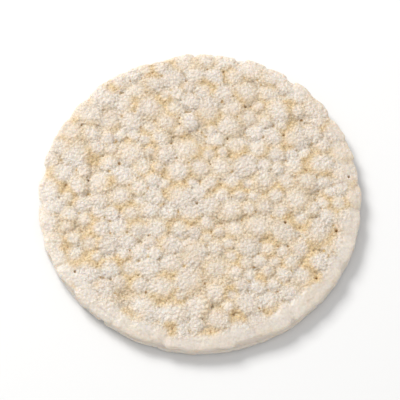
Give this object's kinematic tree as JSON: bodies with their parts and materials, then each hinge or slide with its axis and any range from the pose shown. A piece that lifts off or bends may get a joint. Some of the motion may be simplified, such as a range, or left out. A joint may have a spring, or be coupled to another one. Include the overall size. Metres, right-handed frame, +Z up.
{
  "type": "puffed rice cake",
  "caption": "Thin round cake of puffed white rice, its popped grains pressed flat between two plates, with a smoother band round its rim.",
  "frame": {"origin": "bottom centre of the cake's box, on the surface that it rests on", "axes": "+Z is up, across the cake's thickness, out of its shown face; X and Y lie in the plane of the disc"},
  "size_m": [0.0944, 0.095, 0.005],
  "materials": {
    "puffed_rice": "matte"
  },
  "bodies": {
    "root": {"rice_cake": "puffed_rice"}
  },
  "joints": []
}
